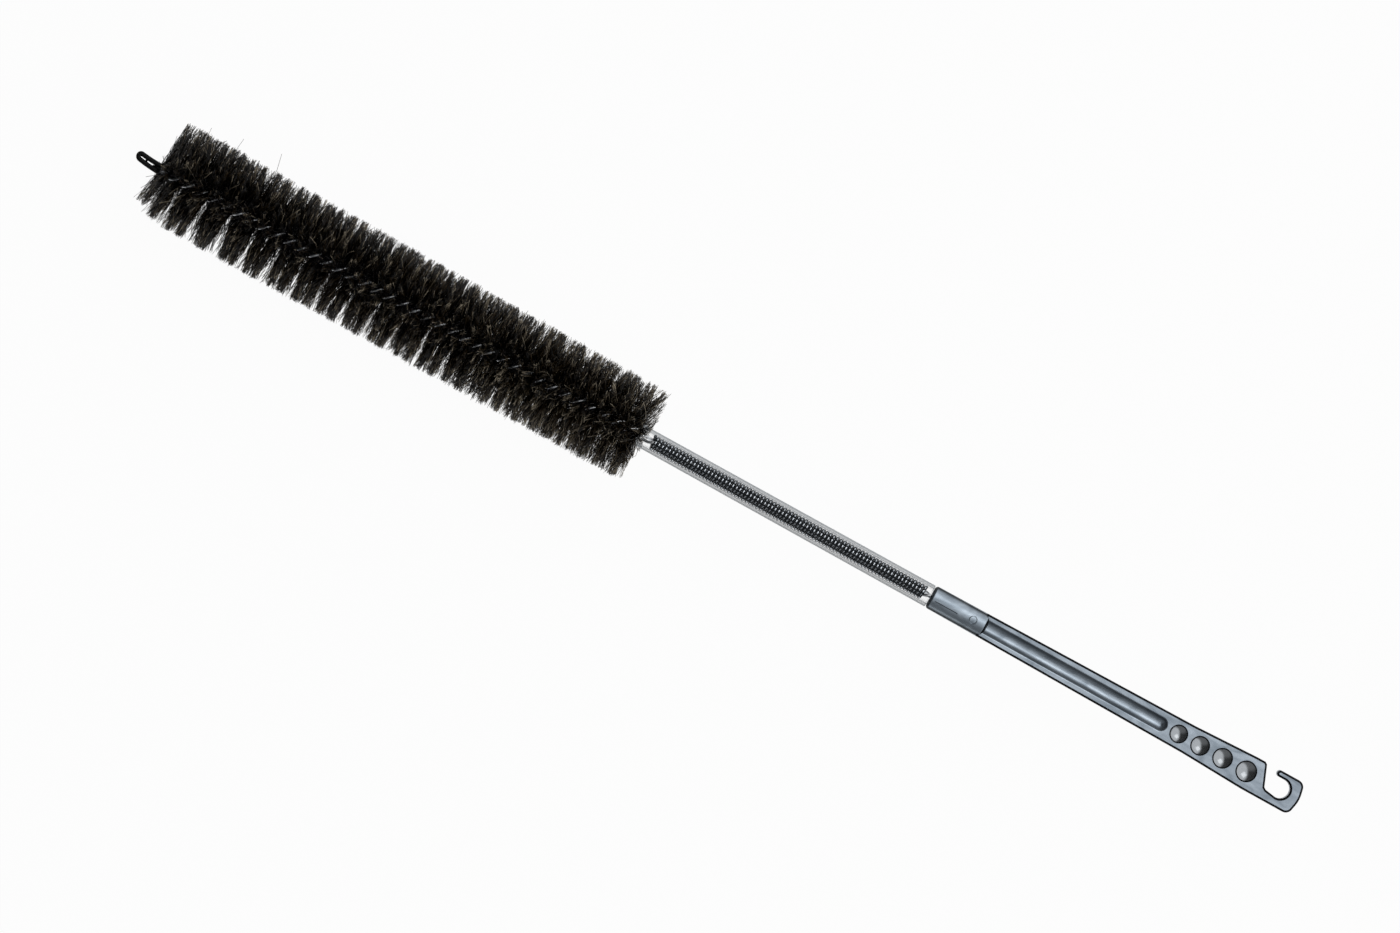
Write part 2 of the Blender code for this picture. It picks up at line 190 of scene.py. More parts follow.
# Twisted wire stem: one hard drawn, galvanised steel wire, folded at the tip and twisted on itself with the
# fibres in its nip. It runs on through the neck, and its rear end is moulded into the handle.
WIRE_DIAMETER = 0.0020
WIRE_ROUNDNESS = 4
TWIST_PITCH = 0.01574
TWIST_EASE = 0.0028
HEAD_WIRE_SPREAD = 0.0036
NECK_WIRE_SPREAD = 0.0024
WIRE_CLOSING_LENGTH = 0.0060
STEM_POINTS_PER_TURN = 26
LOOP_STEPS = 14
LOOP_PROUD = 0.0170
LOOP_BEND = 0.0016
LOOP_SPREAD = 0.0032
DIP_LENGTH = 0.0136
DIP_COAT = 0.0004
CLEARANCE = 0.0003
MERGE_DISTANCE = 0.00001
SMOOTH_ANGLE = math.radians(35)
stem_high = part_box("twisted_wire_stem")[1]
sleeve_low, sleeve_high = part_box("clear_sleeve")
tip_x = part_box("tip_dip")[0].x
head_x = tip_x + LOOP_PROUD
neck_x = sleeve_low.x - CLEARANCE
handle_x = handle_low.x
stem_end_x = stem_high.x - WIRE_DIAMETER / 2


def smooth_step(share):
    """A share from 0 to 1, eased at both ends."""
    share = np.clip(share, 0, 1)
    return share * share * (3 - 2 * share)


def twist_angle(x):
    """How far the wires have turned at x, left-handed."""
    run = np.maximum(x - (tip_x + DIP_LENGTH), 0)
    eased = run * run / (2 * TWIST_EASE)
    return -math.tau * np.where(run < TWIST_EASE, eased, run - TWIST_EASE / 2) / TWIST_PITCH


def loop_bend(x):
    """How far the loop at the tip is bent aside at x."""
    return LOOP_BEND * max((head_x - x) / LOOP_PROUD, 0) ** 2


def stem_points(rear_x, step):
    """The wire's route: forwards from rear_x, round the fold at the tip, which is bent aside, and back."""
    legs_x = np.arange(rear_x, tip_x + DIP_LENGTH, -step)
    closing = smooth_step((legs_x - neck_x) / WIRE_CLOSING_LENGTH)
    reach = (HEAD_WIRE_SPREAD + (NECK_WIRE_SPREAD - HEAD_WIRE_SPREAD) * closing) / 2
    turn = twist_angle(legs_x)
    there = list(zip(legs_x, reach * np.cos(turn), reach * np.sin(turn)))
    radius = LOOP_SPREAD / 2
    fold_x = tip_x + DIP_COAT + WIRE_DIAMETER / 2 + radius
    straight_x = np.linspace(tip_x + DIP_LENGTH, fold_x, LOOP_STEPS, endpoint=False)
    straight_reach = np.linspace(HEAD_WIRE_SPREAD / 2, radius, LOOP_STEPS, endpoint=False)
    there += [(x, y, 0) for x, y in zip(straight_x, straight_reach)]
    angles = [math.pi / 2 + math.pi * i / LOOP_STEPS for i in range(LOOP_STEPS + 1)]
    fold = [(fold_x + radius * math.cos(a), radius * math.sin(a), 0) for a in angles]
    back = [(x, -y, -z) for x, y, z in there[::-1]]
    return [(x, y + loop_bend(x), axis_z + z) for x, y, z in there + fold + back]


def select_only(piece):
    bpy.ops.object.select_all(action="DESELECT")
    piece.select_set(True)
    bpy.context.view_layer.objects.active = piece


def wire_along(name, points, diameter, roundness, ring=False):
    """A round wire along the points, as a closed mesh with ends, or joined end to end as a ring."""
    curve = bpy.data.curves.new(name, "CURVE")
    curve.dimensions = "3D"
    curve.bevel_depth = diameter / 2
    curve.bevel_resolution = roundness
    curve.use_fill_caps = True
    spline = curve.splines.new("POLY")
    spline.points.add(len(points) - 1)
    for point, place in zip(spline.points, points):
        point.co = (*place, 1)
    spline.use_cyclic_u = ring
    made = bpy.data.objects.new(name, curve)
    bpy.context.scene.collection.objects.link(made)
    select_only(made)
    bpy.ops.object.convert(target="MESH")
    bpy.ops.object.mode_set(mode="EDIT")
    bpy.ops.mesh.select_all(action="SELECT")
    bpy.ops.mesh.remove_doubles(threshold=MERGE_DISTANCE)
    bpy.ops.mesh.normals_make_consistent(inside=False)
    bpy.ops.object.mode_set(mode="OBJECT")
    bpy.ops.object.shade_smooth_by_angle(angle=SMOOTH_ANGLE)
    return made


def across_neck(piece):
    """Bakes the piece's placing into its mesh."""
    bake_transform(piece)


stem_step = TWIST_PITCH / STEM_POINTS_PER_TURN
stem = wire_along("wire_stem", stem_points(stem_end_x, stem_step), WIRE_DIAMETER, WIRE_ROUNDNESS)

# Galvanised steel: drawn bright and zinc plated. A bright, pale metal with a fine crystalline blotch in its
# tone and its gloss, which breaks the light on each turn into short glints. The blotch is drawn coarse
# enough to show.
zinc = new_material("Galvanised drawn steel")
ZINC_BLOTCH_SIZE = 0.0012
place = add_node(zinc, "ShaderNodeTexCoord").outputs["Object"]
blotch = add_node(
    zinc, "ShaderNodeTexNoise", {"Vector": place, "Scale": 1 / ZINC_BLOTCH_SIZE, "Detail": 3.0}
)
tone = add_node(
    zinc,
    "ShaderNodeMix",
    {0: blotch.outputs[0], 6: linear("#DADDE0"), 7: linear("#F8F9FA")},
    data_type="RGBA",
)
gloss = add_node(
    zinc, "ShaderNodeMapRange", {"Value": blotch.outputs[0], "To Min": 0.26, "To Max": 0.36}
)
add_node(
    zinc,
    "ShaderNodeBsdfPrincipled",
    {"Base Color": tone.outputs[2], "Metallic": 1.0, "Roughness": gloss.outputs[0]},
)
stem.data.materials.append(zinc)
across_neck(stem)
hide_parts("twisted_wire_stem")

# Bristles: stiff crimped fibres, black with some brown and tan ones, laid between the wires and trapped
# there as the wires are twisted, then trimmed to a round. They stand in a left-handed screw with two starts,
# so a tuft shows at each side every half turn. Some fibres are loose or short, and three stand proud.
SECTION_COUNT = 10
FIBRES_PER_SECTION = 3400
WISP_SIZE = 11
WISP_ROOT_SPREAD = 0.00040
WISP_TIP_SPREAD = 0.00028
WISP_NIP_SPREAD = math.radians(1.6)
NIP_SPREAD = math.radians(6)
LOOSE_SHARE = 0.19
LOOSE_AT_END = 0.6
LOOSE_END_RUN = 0.0050
LOOSE_NIP_SPREAD = math.radians(14)
LOOSE_FAN = 2.1
FIBRE_DIAMETER = 0.00036
THINNEST, THICKEST = 0.75, 1.25
FIBRE_TIP_SHARE = 0.65
FIBRE_SIDES = 3
FIBRE_SEED = 20
RING_SHARES = (0.0, 0.23, 0.5, 0.75, 1.0)
HEAD_MARGIN = 0.0008
HEAD_TIP_RADIUS = 0.0291
HEAD_NECK_RADIUS = 0.0276
TRIM_JITTER = 0.0006
SHORT_SHARE = 0.09
SHORTEST = 0.72
END_SHORTER = 0.34
END_SHORTER_RUN = 0.0055
STRAYS = ((-0.3365, 0.0315), (-0.3187, 0.0358), (-0.2945, 0.0382))

# The fibres on the +Y side are combed over. The loose ones on the -Y side are painted paler: a painted
# sheen.
COMB_AT_TIP = 0.0012
COMB_AT_NECK = 0.0008
COMB_RISE = 1.5
FAN_AT_RUBBED_SIDE = 0.0014
FAN_AT_COMBED_SIDE = 0.0021
TIP_FAN_EXTRA = 0.0010
TIP_FAN_RUN = 0.11
WIDER_AT_NECK = 0.95
WIDER_RISE = 4
PAIRING = 0.0017
PAIRING_LENGTH = 0.26
SPLAY_LENGTH = 0.010
FRONT_SPLAY_COMBED = -0.0023
FRONT_SPLAY_RUBBED = 0.0060
END_RAGGED = 0.0007
REAR_SPLAY = 0.0056
REAR_SPLAY_RUBBED_SHARE = 0.55
REAR_SPLAY_RISE = 0.45
REAR_RAGGED = 0.0010
FIRST_ROOTS_FORWARD = 0.0040
FIRST_ROOTS_RUN = 0.005
LEAN_RISE = 1.1
BOW = 0.0012
CRIMP = 0.0005
CRIMP_WAVES = 1.25
SHADE_BY_WISP = 0.5
PAINTED_SHEEN_SHARE = 0.6
BROWNER_AT_NECK = 0.45
head_length = neck_x - head_x


def mark(piece, name, values, domain="POINT"):
    """Keeps a value at each point, or face corner, of the piece's mesh for its material to read."""
    piece.data.attributes.new(name, "FLOAT", domain).data.foreach_set("value", values)


def fibre_rods(name, line, thickness, spin):
    """Thin closed rods along the fibres' lines, each thinner at its cut end, all in one mesh."""
    count, ring_count = line.shape[:2]
    forward = np.gradient(line, axis=1)
    forward /= np.linalg.norm(forward, axis=2, keepdims=True)
    across = np.cross(forward, (1.0, 0.0, 0.0))
    across /= np.linalg.norm(across, axis=2, keepdims=True)
    third = np.cross(forward, across)
    half = thickness / 2 * (1 + (FIBRE_TIP_SHARE - 1) * np.array(RING_SHARES))
    points = np.empty((count, ring_count, FIBRE_SIDES, 3))
    for side in range(FIBRE_SIDES):
        a = spin + math.tau * side / FIBRE_SIDES
        points[:, :, side] = line + half[..., None] * (
            np.cos(a)[..., None] * across + np.sin(a)[..., None] * third
        )
    ring_of = np.arange(ring_count * FIBRE_SIDES).reshape(ring_count, FIBRE_SIDES)
    after = np.roll(ring_of, -1, axis=1)
    sides = np.stack([ring_of[:-1], after[:-1], after[1:], ring_of[1:]], axis=-1).reshape(-1, 4)
    caps = np.array([ring_of[0][::-1], ring_of[-1]])
    offsets = np.arange(count)[:, None, None] * ring_count * FIBRE_SIDES
    quads = (sides[None] + offsets).reshape(-1, 4)
    ends = (caps[None] + offsets).reshape(-1, 3)
    mesh = bpy.data.meshes.new(name)
    mesh.from_pydata(points.reshape(-1, 3).tolist(), [], quads.tolist() + ends.tolist())
    mesh.shade_smooth()
    made = bpy.data.objects.new(name, mesh)
    bpy.context.scene.collection.objects.link(made)
    return made


def fibre_section(index):
    """One of ten stretches of the head, with all its fibres. The random draws keep this order."""
    random = np.random.default_rng(FIBRE_SEED + index)
    count = FIBRES_PER_SECTION
    wisps = count // WISP_SIZE
    wisp = np.arange(count) % wisps
    length = (head_length - 2 * HEAD_MARGIN) / SECTION_COUNT
    section_x = head_x + HEAD_MARGIN + length * index

    # Roots: most fibres share their root with a wisp, and the loose ones lie anywhere.
    wisp_x = section_x + length * (np.arange(wisps) + random.random(wisps)) / wisps
    loose_share = LOOSE_SHARE + LOOSE_AT_END * np.exp(-(wisp_x[wisp] - head_x) / LOOSE_END_RUN)
    loose = random.random(count) < loose_share
    root_x = wisp_x[wisp] + random.normal(0, WISP_ROOT_SPREAD, count)
    root_x = np.where(loose, section_x + length * random.random(count), root_x)
    root_x = np.clip(root_x, section_x, section_x + length)
    from_tip, from_neck = root_x - head_x, neck_x - root_x
    along = from_tip / head_length

    # Directions: across the two wires at the root, from one of the screw's two starts.
    start = np.where(loose, random.integers(0, 2, count), random.integers(0, 2, wisps)[wisp])
    wisp_angle = twist_angle(wisp_x)[wisp] + random.normal(0, NIP_SPREAD, wisps)[wisp]
    wisp_angle += random.normal(0, WISP_NIP_SPREAD, count)
    loose_angle = twist_angle(root_x) + random.normal(0, LOOSE_NIP_SPREAD, count)
    angle = np.where(loose, loose_angle, wisp_angle) + math.pi / 2 + math.pi * start

    # Lengths: trimmed to the head's round, with some short fibres, a worn front end and the three strays.
    # The fibres that point down stop at the floor.
    radius = HEAD_TIP_RADIUS + (HEAD_NECK_RADIUS - HEAD_TIP_RADIUS) * along
    radius = radius - random.exponential(TRIM_JITTER, count)
    is_short = random.random(count) < SHORT_SHARE
    radius *= np.where(is_short, SHORTEST + (1 - SHORTEST) * random.random(count), 1)
    rubbed = 1 - smooth_step((np.cos(angle) + 1) / 2)
    radius *= 1 - END_SHORTER * rubbed * np.exp(-from_tip / END_SHORTER_RUN)
    is_stray = np.zeros(count, dtype=bool)
    for stray_x, stray_reach in STRAYS:
        nearest = int(np.argmin(np.abs(root_x - stray_x)))
        if section_x < stray_x < section_x + length:
            angle[nearest], radius[nearest] = 0.0, stray_reach
            loose[nearest] = is_stray[nearest] = True
    out_y, out_z = np.cos(angle), np.sin(angle)
    combed = smooth_step((out_y + 1) / 2)
    radius = np.minimum(radius, axis_z / np.maximum(-out_z, axis_z))

    # Leans along X: a wisp leans as one, the loose fibres lean further, and both ends of the head splay.
    near_tip = 1 - smooth_step(from_tip / TIP_FAN_RUN)
    paired = 1 - smooth_step(from_tip / PAIRING_LENGTH)
    at_tip, at_neck = np.exp(-from_tip / SPLAY_LENGTH), np.exp(-from_neck / SPLAY_LENGTH)
    combed_extra = FAN_AT_COMBED_SIDE - FAN_AT_RUBBED_SIDE + TIP_FAN_EXTRA * near_tip
    fan = (FAN_AT_RUBBED_SIDE + combed_extra * combed) * (1 + WIDER_AT_NECK * along**WIDER_RISE)
    wisp_lean = fan * random.normal(0, 1, wisps)[wisp] + random.normal(0, WISP_TIP_SPREAD, count)
    wisp_lean += wisp_x[wisp] - root_x
    lean = np.where(loose, LOOSE_FAN * fan * random.normal(0, 1, count), wisp_lean)
    lean += np.where(loose, 0.0, PAIRING * paired * (2 * start - 1) * (1 - combed))
    lean -= (FRONT_SPLAY_RUBBED + (FRONT_SPLAY_COMBED - FRONT_SPLAY_RUBBED) * combed) * at_tip
    front_limit = END_RAGGED * np.abs(random.normal(0, 1, count)) - from_tip
    front_limit -= FRONT_SPLAY_RUBBED * (1 - combed)
    lean = np.where(is_stray, 0.0, np.clip(lean, front_limit, from_neck + REAR_RAGGED))
    rear_share = REAR_SPLAY_RUBBED_SHARE + (1 - REAR_SPLAY_RUBBED_SHARE) * combed
    rear_lean = np.where(is_stray, 0.0, REAR_SPLAY * rear_share * at_neck)

    # Lines: bowed, crimped and combed on the way out, and held off the sleeve's front rim and the floor.
    bow = random.normal(0, BOW, (count, 3))
    crimp = random.normal(0, CRIMP, (count, 3))
    comb = COMB_AT_TIP + (COMB_AT_NECK - COMB_AT_TIP) * along
    line = np.empty((count, len(RING_SHARES), 3))
    for ring, share in enumerate(RING_SHARES):
        sway = bow * 4 * share * (1 - share) + crimp * math.sin(math.tau * share * CRIMP_WAVES)
        ring_x = root_x + lean * share**LEAN_RISE + rear_lean * share**REAR_SPLAY_RISE + sway[:, 0]
        ring_x -= FIRST_ROOTS_FORWARD * np.exp(-from_tip / FIRST_ROOTS_RUN) * (1 - share) ** 2
        at_rim = radius * share < (sleeve_high.z - sleeve_low.z) / 2 + CLEARANCE
        line[:, ring, 0] = np.where(at_rim, np.minimum(ring_x, neck_x), ring_x)
        line[:, ring, 1] = out_y * radius * share + comb * share**COMB_RISE + sway[:, 1]
        line[:, ring, 2] = axis_z + out_z * radius * share + sway[:, 2]
    line[:, :, 2] = np.maximum(line[:, :, 2], FIBRE_DIAMETER / 2)
    spin = random.random(count)[:, None] * math.tau
    thickness = FIBRE_DIAMETER * (THINNEST + (THICKEST - THINNEST) * random.random(count))[:, None]
    made = fibre_rods(f"fibres_{index + 1:02d}", line, thickness, spin)

    # Shades: from each wisp or fibre's own dye, turning browner towards the neck. The loose ones at -Y are
    # painted paler, a painted sheen.
    by_wisp = random.random(count) < SHADE_BY_WISP
    dye = np.where(by_wisp, random.random(wisps)[wisp], random.random(count))
    dye = np.where(loose, dye + (1 - dye) * PAINTED_SHEEN_SHARE * (1 - combed), dye)
    dye += (1 - dye) * BROWNER_AT_NECK * along**2
    mark(made, "fibre_shade", np.repeat(dye, len(RING_SHARES) * FIBRE_SIDES))
    mark(made, "fibre_run", np.tile(np.repeat(RING_SHARES, FIBRE_SIDES), count))
    return made


# Dyed fibre: a stiff vegetable and nylon mix, drawn and cut. Six in ten are dyed black, three in ten shade
# into dark brown and the rest are tan. The dye is worn from their ends, and all have the gloss of hair.
dyed_fibre = new_material("Dyed stiff fibre mix")
shade = add_node(dyed_fibre, "ShaderNodeAttribute", attribute_name="fibre_shade").outputs["Fac"]
run = add_node(dyed_fibre, "ShaderNodeAttribute", attribute_name="fibre_run").outputs["Fac"]
is_brown = add_node(
    dyed_fibre, "ShaderNodeMapRange", {"Value": shade, "From Min": 0.60, "From Max": 0.88}
)
is_tan = add_node(
    dyed_fibre, "ShaderNodeMapRange", {"Value": shade, "From Min": 0.89, "From Max": 0.92}
)
worn = add_node(
    dyed_fibre, "ShaderNodeMapRange", {"Value": run, "From Min": 0.35, "From Max": 1.0, "To Max": 0.85}
)
shades = []
for dyed_hex, worn_hex in (("#040303", "#0D0B09"), ("#140E09", "#43351F"), ("#5C5142", "#B0A48E")):
    ends = {0: worn.outputs[0], 6: linear(dyed_hex), 7: linear(worn_hex)}
    shades.append(add_node(dyed_fibre, "ShaderNodeMix", ends, data_type="RGBA").outputs[2])
black, brown, tan = shades
body = add_node(
    dyed_fibre, "ShaderNodeMix", {0: is_brown.outputs[0], 6: black, 7: brown}, data_type="RGBA"
)
body = add_node(
    dyed_fibre, "ShaderNodeMix", {0: is_tan.outputs[0], 6: body.outputs[2], 7: tan}, data_type="RGBA"
)
add_node(
    dyed_fibre,
    "ShaderNodeBsdfPrincipled",
    {"Base Color": body.outputs[2], "Roughness": 0.30, "IOR": 1.54, "Specular IOR Level": 0.30},
)
for index in range(SECTION_COUNT):
    fibres = fibre_section(index)
    fibres.data.materials.append(dyed_fibre)
    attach(fibres, "head")
    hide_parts(f"bristles_{index + 1:02d}")

# Tip dip: the folded end is dipped in liquid vinyl, which sets as a thick black coat. Two thin films of it
# bridge the slit between the wire's legs. FILMS gives how far each one is from the tip, and its length.
DIP_DIAMETER = 0.0028
DIP_RUN_ON = 0.0036
DIP_STEPS = 6
DIP_ROUNDNESS = 6
FILMS = ((0.0066, 0.0014), (0.0150, 0.0086))
FILM_WIDTH, FILM_THICKNESS = 0.0018, 0.0018
FILM_SIDES, FILM_RINGS = 20, 12
dip_points = stem_points(tip_x + DIP_LENGTH + DIP_RUN_ON, DIP_RUN_ON / DIP_STEPS)
dip = wire_along("dip_coat", dip_points, DIP_DIAMETER, DIP_ROUNDNESS)
for film_from_tip, film_length in FILMS:
    film_x = tip_x + film_from_tip
    bpy.ops.object.select_all(action="DESELECT")
    bpy.ops.mesh.primitive_uv_sphere_add(
        segments=FILM_SIDES, ring_count=FILM_RINGS, location=(film_x, loop_bend(film_x), axis_z)
    )
    film = bpy.context.object
    film.scale = (film_length / 2, FILM_WIDTH / 2, FILM_THICKNESS / 2)
    bpy.ops.object.transform_apply(location=True, scale=True)
    bpy.ops.object.shade_smooth()
    dip.select_set(True)
    bpy.context.view_layer.objects.active = dip
    bpy.ops.object.join()

# Dipped vinyl: plastisol that ran a little before it set. It is near black and half matt, with soft lumps.
dipped_vinyl = new_material("Dipped black vinyl")
LUMP_SIZE = 0.00238
place = add_node(dipped_vinyl, "ShaderNodeTexCoord").outputs["Object"]
lumps = add_node(
    dipped_vinyl, "ShaderNodeTexNoise", {"Vector": place, "Scale": 1 / LUMP_SIZE, "Detail": 2.0}
)
lumpy = add_node(
    dipped_vinyl, "ShaderNodeBump", {"Height": lumps.outputs[0], "Strength": 0.25, "Distance": 0.0004}
)
add_node(
    dipped_vinyl,
    "ShaderNodeBsdfPrincipled",
    {
        "Base Color": linear("#040405"),
        "Roughness": 0.42,
        "IOR": 1.53,
        "Specular IOR Level": 0.15,
        "Normal": lumpy.outputs[0],
    },
)
dip.data.materials.append(dipped_vinyl)
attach(dip, "head")
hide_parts("tip_dip")

# Neck spring: a close left-handed coil of dark, flattened, oil-tempered wire, slipped over the bare stem.
# It keeps the neck from kinking, and both its ends are cut square.
SPRING_DIAMETER = 0.0088
SPRING_WIRE_DIAMETER = 0.0017
SPRING_WIRE_BREADTH = 0.0021
SPRING_CURLS = 77
SPRING_STEPS = 22
SPRING_WIRE_SIDES = 10
GLINT_ROWS = SPRING_STEPS // 2
spring_low, spring_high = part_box("neck_spring")
coil_radius = (SPRING_DIAMETER - SPRING_WIRE_DIAMETER) / 2
coil_pitch = (spring_high.x - spring_low.x - SPRING_WIRE_BREADTH) / SPRING_CURLS
bpy.ops.object.select_all(action="DESELECT")
bpy.ops.mesh.primitive_circle_add(
    vertices=SPRING_WIRE_SIDES,
    radius=SPRING_WIRE_DIAMETER / 2,
    location=(spring_low.x + SPRING_WIRE_BREADTH / 2, coil_radius, 0),
)
spring = bpy.context.object
spring.name = "coil_spring"
spring.scale.x = SPRING_WIRE_BREADTH / SPRING_WIRE_DIAMETER
bpy.ops.object.transform_apply(location=True, rotation=True, scale=True)
coil = spring.modifiers.new("coil", "SCREW")
coil.axis = "X"
coil.angle = -math.tau
coil.screw_offset = coil_pitch
coil.iterations = SPRING_CURLS
coil.steps = coil.render_steps = SPRING_STEPS
bpy.ops.object.modifier_apply(modifier="coil")
bpy.ops.object.mode_set(mode="EDIT")
bpy.ops.mesh.select_all(action="SELECT")
bpy.ops.mesh.fill_holes(sides=SPRING_WIRE_SIDES)
bpy.ops.mesh.select_all(action="SELECT")
bpy.ops.mesh.normals_make_consistent(inside=False)
bpy.ops.object.mode_set(mode="OBJECT")
spring.location.z = axis_z
bpy.ops.object.transform_apply(location=True)
bpy.ops.object.shade_smooth_by_angle(angle=SMOOTH_ANGLE)
# Marks for the painted glints: how far out on the wire each point lies, and eleven rows round the coil.
reach = [math.hypot(v.co.y, v.co.z - axis_z) - coil_radius for v in spring.data.vertices]
mark(spring, "outward", np.array(reach) / (SPRING_WIRE_DIAMETER / 2))
turns = [math.atan2(v.co.z - axis_z, v.co.y) / math.tau for v in spring.data.vertices]
mark(spring, "glint_row", -np.cos(math.tau * GLINT_ROWS * np.array(turns)))

# Oil-tempered spring steel: blued near black by the heat, with an oil film that pools a little. Painted
# glints: pale bright spots on the outside of the curls, in rows round the coil, drawn coarse enough to show.
tempered = new_material("Oil tempered spring steel")
OIL_POOL_SIZE = 0.00333
place = add_node(tempered, "ShaderNodeTexCoord").outputs["Object"]
film = add_node(
    tempered, "ShaderNodeTexNoise", {"Vector": place, "Scale": 1 / OIL_POOL_SIZE, "Detail": 2.0}
)
oil_and_glint_colour = add_node(
    tempered,
    "ShaderNodeMix",
    {0: film.outputs[0], 6: linear("#101216"), 7: linear("#1B1E23")},
    data_type="RGBA",
)
outward = add_node(tempered, "ShaderNodeAttribute", attribute_name="outward").outputs["Fac"]
glint_row = add_node(tempered, "ShaderNodeAttribute", attribute_name="glint_row").outputs["Fac"]
# Painted glints: pale spots on the curls' outer crests, in the rows.
glint_dots = add_node(
    tempered, "ShaderNodeMapRange", {"Value": glint_row, "From Min": -0.35, "From Max": 0.20}
)
rubbed = add_node(
    tempered,
    "ShaderNodeMapRange",
    {"Value": outward, "From Min": 0.84, "From Max": 0.93, "To Max": glint_dots.outputs[0]},
)
oil_and_glint_colour = add_node(
    tempered,
    "ShaderNodeMix",
    {0: rubbed.outputs[0], 6: oil_and_glint_colour.outputs[2], 7: linear("#C6CBD0")},
    data_type="RGBA",
)
film_gloss = add_node(
    tempered, "ShaderNodeMapRange", {"Value": film.outputs[0], "To Min": 0.10, "To Max": 0.18}
)
add_node(
    tempered,
    "ShaderNodeBsdfPrincipled",
    {"Base Color": oil_and_glint_colour.outputs[2], "Metallic": 1.0, "Roughness": film_gloss.outputs[0]},
)
spring.data.materials.append(tempered)
across_neck(spring)
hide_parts("neck_spring")

# Clear sleeve: extruded flexible vinyl tube, cut to length and pushed over the spring. Near its two sides
# the eye looks along more of the vinyl, so that its walls show as two pale bands along it.
SLEEVE_FRONT_DIAMETER = 0.0124
SLEEVE_REAR_DIAMETER = 0.0131
SLEEVE_WALL = 0.0016
SLEEVE_RIM_ROUND = 0.0003
SLEEVE_SIDES = 56
SLEEVE_RINGS = 60


def turned(name, profile, centre, axis, steps, angle=math.tau, closed=False):
    """A profile of points spun about an axis, as a skin with merged seams and outward faces."""
    mesh = bpy.data.meshes.new(name)
    last = len(profile) - 1
    edges = [(i, i + 1) for i in range(last)] + ([(last, 0)] if closed else [])
    mesh.from_pydata(profile, edges, [])
    made = bpy.data.objects.new(name, mesh)
    bpy.context.scene.collection.objects.link(made)
    select_only(made)
    bpy.ops.object.mode_set(mode="EDIT")
    bpy.ops.mesh.select_all(action="SELECT")
    bpy.ops.mesh.spin(steps=steps, angle=angle, center=centre, axis=axis)
    bpy.ops.mesh.select_all(action="SELECT")
    bpy.ops.mesh.remove_doubles(threshold=MERGE_DISTANCE)
    bpy.ops.mesh.normals_make_consistent(inside=False)
    bpy.ops.object.mode_set(mode="OBJECT")
    return made


def turned_on_axis(name, section, steps, closed=False):
    """A section of (x, radius) points turned about the brush's own axis."""
    profile = [(x, 0, axis_z + radius) for x, radius in section]
    return turned(name, profile, (0, 0, axis_z), (1, 0, 0), steps, closed=closed)


def sleeve_radius(x):
    """The outer radius at x: the tube is a little wider at its rear end, by the collar."""
    share = (x - sleeve_low.x) / (sleeve_high.x - sleeve_low.x)
    return (SLEEVE_FRONT_DIAMETER + (SLEEVE_REAR_DIAMETER - SLEEVE_FRONT_DIAMETER) * share) / 2


stations = np.linspace(sleeve_low.x + SLEEVE_RIM_ROUND, sleeve_high.x - SLEEVE_RIM_ROUND, SLEEVE_RINGS)
outer = [(x, sleeve_radius(x)) for x in stations]
inner = [(x, sleeve_radius(x) - SLEEVE_WALL) for x in stations[::-1]]
rear_rim = [
    (sleeve_high.x, sleeve_radius(sleeve_high.x) - SLEEVE_RIM_ROUND),
    (sleeve_high.x, sleeve_radius(sleeve_high.x) - SLEEVE_WALL + SLEEVE_RIM_ROUND),
]
front_rim = [
    (sleeve_low.x, sleeve_radius(sleeve_low.x) - SLEEVE_WALL + SLEEVE_RIM_ROUND),
    (sleeve_low.x, sleeve_radius(sleeve_low.x) - SLEEVE_RIM_ROUND),
]
sleeve_section = outer + rear_rim + inner + front_rim
sleeve = turned_on_axis("vinyl_sleeve", sleeve_section, SLEEVE_SIDES, closed=True)
bpy.ops.object.shade_smooth_by_angle(angle=SMOOTH_ANGLE)
radii = np.array([math.hypot(v.co.y, v.co.z - axis_z) for v in sleeve.data.vertices])
mid_wall = np.array([sleeve_radius(v.co.x) - SLEEVE_WALL / 2 for v in sleeve.data.vertices])
mark(sleeve, "bore", (radii < mid_wall).astype(float))

# Clear plasticised vinyl: glossy, and clear where the eye looks straight through it. Its skin and its bore
# both turn a pale grey towards the sides, where the eye looks along the wall, and it is a little clouded.
clear_vinyl = new_material("Extruded clear vinyl")
CLOUD_LENGTH, CLOUD_WIDTH = 0.0333, 0.0025
place = add_node(clear_vinyl, "ShaderNodeTexCoord").outputs["Object"]
drawn = add_node(
    clear_vinyl,
    "ShaderNodeMapping",
    {"Vector": place, "Scale": (1 / CLOUD_LENGTH, 1 / CLOUD_WIDTH, 1 / CLOUD_WIDTH)},
)
cloud = add_node(
    clear_vinyl, "ShaderNodeTexNoise", {"Vector": drawn.outputs[0], "Scale": 1.0, "Detail": 2.0}
)
facing = add_node(clear_vinyl, "ShaderNodeLayerWeight", {"Blend": 0.5}).outputs["Facing"]
cast = add_node(
    clear_vinyl,
    "ShaderNodeMix",
    {0: cloud.outputs[0], 6: linear("#8E969C"), 7: linear("#A0A7AC")},
    data_type="RGBA",
)
skin_seen = add_node(
    clear_vinyl,
    "ShaderNodeMapRange",
    {"Value": facing, "From Min": 0.10, "From Max": 0.70, "To Min": 0.035, "To Max": 0.75},
)
bore_seen = add_node(
    clear_vinyl,
    "ShaderNodeMapRange",
    {"Value": facing, "From Min": 0.55, "From Max": 0.75, "To Min": 0.02, "To Max": 0.75},
)
bore = add_node(clear_vinyl, "ShaderNodeAttribute", attribute_name="bore").outputs["Fac"]
